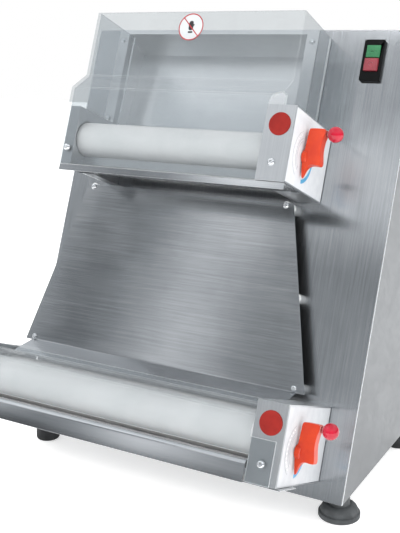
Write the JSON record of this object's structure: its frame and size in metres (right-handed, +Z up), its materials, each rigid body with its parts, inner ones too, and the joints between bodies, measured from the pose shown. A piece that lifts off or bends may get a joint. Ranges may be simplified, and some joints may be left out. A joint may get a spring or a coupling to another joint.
{
  "type": "dough sheeter",
  "caption": "Bench dough sheeter with a leaning steel casing, two roller heads with gap levers, clear guards, slide plate, feed chute and start/stop switch.",
  "frame": {"origin": "on the floor, under the middle of the whole object", "axes": "+Z up, front faces -Y, +X to the right seen from the front"},
  "size_m": [0.573, 0.4992, 0.6761],
  "materials": {
    "stainless": "satin brushed",
    "casing_steel": "satin brushed",
    "roller_plastic": "smooth satin",
    "clear_guard": "polished clear",
    "lever_plastic": "moulded",
    "ball_plastic": "polished",
    "cap_plastic": "moulded",
    "rubber": "matte",
    "black_plastic": "moulded",
    "start_green": "moulded",
    "stop_red": "moulded",
    "bright_steel": "polished",
    "machined_steel": "machined",
    "bearing_plastic": "machined",
    "spacer_plastic": "moulded",
    "scale_white": "satin paint",
    "motor_paint": "satin paint",
    "belt_rubber": "matte"
  },
  "bodies": {
    "casing": {"back_bearings": "bearing_plastic", "back_panel": "casing_steel", "base_plate": "casing_steel", "cable_gland": "black_plastic", "chute": "stainless", "face_caps": "cap_plastic", "front_bolts": "bright_steel", "front_panel": "casing_steel", "gearbox": "motor_paint", "left_side_panel": "casing_steel", "levelling_foot": "rubber", "lower_belt": "belt_rubber", "lower_control_box": "stainless", "lower_guard": "clear_guard", "lower_left_bracket": "stainless", "lower_scale_plate": "scale_white", "lower_tray": "stainless", "motor": "motor_paint", "motor_mount": "machined_steel", "panel_screws": "bright_steel", "plain_feet": "rubber", "right_side_panel": "casing_steel", "scrapers": "stainless", "shaft_bearing": "machined_steel", "slide_plate": "stainless", "slide_spacers": "spacer_plastic", "switch_housing": "black_plastic", "top_panel": "casing_steel", "upper_belt": "belt_rubber", "upper_control_box": "stainless", "upper_guard": "clear_guard", "upper_left_bracket": "stainless", "upper_scale_plate": "scale_white", "upper_tray": "stainless"},
    "drive_shaft": {"drive_shaft": "machined_steel", "drive_pulleys": "machined_steel"},
    "start_button": {"start_button": "start_green"},
    "stop_button": {"stop_button": "stop_red"},
    "upper_back_roller": {"upper_back_roller": "roller_plastic", "upper_back_shaft": "machined_steel", "upper_back_gear": "machined_steel", "upper_pulley": "machined_steel"},
    "upper_carriage": {"upper_front_bearings": "bearing_plastic"},
    "upper_front_roller": {"upper_front_roller": "roller_plastic", "upper_front_shaft": "machined_steel", "upper_front_gear": "machined_steel"},
    "upper_lever": {"upper_lever": "lever_plastic", "upper_ball_knob": "ball_plastic", "upper_cam": "machined_steel"},
    "lower_back_roller": {"lower_back_roller": "roller_plastic", "lower_back_shaft": "machined_steel", "lower_back_gear": "machined_steel", "lower_pulley": "machined_steel"},
    "lower_carriage": {"lower_front_bearings": "bearing_plastic"},
    "lower_front_roller": {"lower_front_roller": "roller_plastic", "lower_front_shaft": "machined_steel", "lower_front_gear": "machined_steel"},
    "lower_lever": {"lower_lever": "lever_plastic", "lower_ball_knob": "ball_plastic", "lower_cam": "machined_steel"}
  },
  "joints": [
    {"name": "drive_shaft_turn", "type": "hinge", "parent": "casing", "child": "drive_shaft", "pos_m": [0.158, 0.20134, 0.19781], "axis": [1, 0, 0], "continuous": true},
    {"name": "upper_back_roller_turn", "type": "hinge", "parent": "casing", "child": "upper_back_roller", "pos_m": [-0.02525, 0.00628, 0.47242], "axis": [1, 0, 0], "continuous": true},
    {"name": "upper_gap_slide", "type": "slide", "parent": "casing", "child": "upper_carriage", "axis": [0, -0.9317, 0.3633], "range_m": [0, 0.004]},
    {"name": "upper_front_roller_turn", "type": "hinge", "parent": "upper_carriage", "child": "upper_front_roller", "pos_m": [-0.02525, -0.04124, 0.49095], "axis": [1, 0, 0], "continuous": true},
    {"name": "upper_lever_turn", "type": "hinge", "parent": "casing", "child": "upper_lever", "pos_m": [0.1701, -0.03322, 0.48675], "axis": [-1, 0, 0], "range_deg": [0, 95]},
    {"name": "lower_back_roller_turn", "type": "hinge", "parent": "casing", "child": "lower_back_roller", "pos_m": [-0.038, -0.13092, 0.12879], "axis": [1, 0, 0], "continuous": true},
    {"name": "lower_gap_slide", "type": "slide", "parent": "casing", "child": "lower_carriage", "axis": [0, -0.9317, 0.3633], "range_m": [0, 0.004]},
    {"name": "lower_front_roller_turn", "type": "hinge", "parent": "lower_carriage", "child": "lower_front_roller", "pos_m": [-0.038, -0.18776, 0.15095], "axis": [1, 0, 0], "continuous": true},
    {"name": "lower_lever_turn", "type": "hinge", "parent": "casing", "child": "lower_lever", "pos_m": [0.2366, -0.18507, 0.14131], "axis": [-1, 0, 0], "range_deg": [0, 95]},
    {"name": "start_button_press", "type": "slide", "parent": "casing", "child": "start_button", "axis": [0, 0.9317, -0.3633], "range_m": [0, 0.0025], "stiffness_N_per_m": 400},
    {"name": "stop_button_press", "type": "slide", "parent": "casing", "child": "stop_button", "axis": [0, 0.9317, -0.3633], "range_m": [0, 0.0025], "stiffness_N_per_m": 400}
  ],
  "couplings": [
    {"joint": "upper_back_roller_turn", "follows": "drive_shaft_turn", "ratio": 1},
    {"joint": "upper_front_roller_turn", "follows": "drive_shaft_turn", "ratio": -1},
    {"joint": "upper_lever_turn", "follows": "upper_gap_slide", "rad_per_m": 414.52},
    {"joint": "lower_back_roller_turn", "follows": "drive_shaft_turn", "ratio": 1},
    {"joint": "lower_front_roller_turn", "follows": "drive_shaft_turn", "ratio": -1},
    {"joint": "lower_lever_turn", "follows": "lower_gap_slide", "rad_per_m": 414.52}
  ]
}
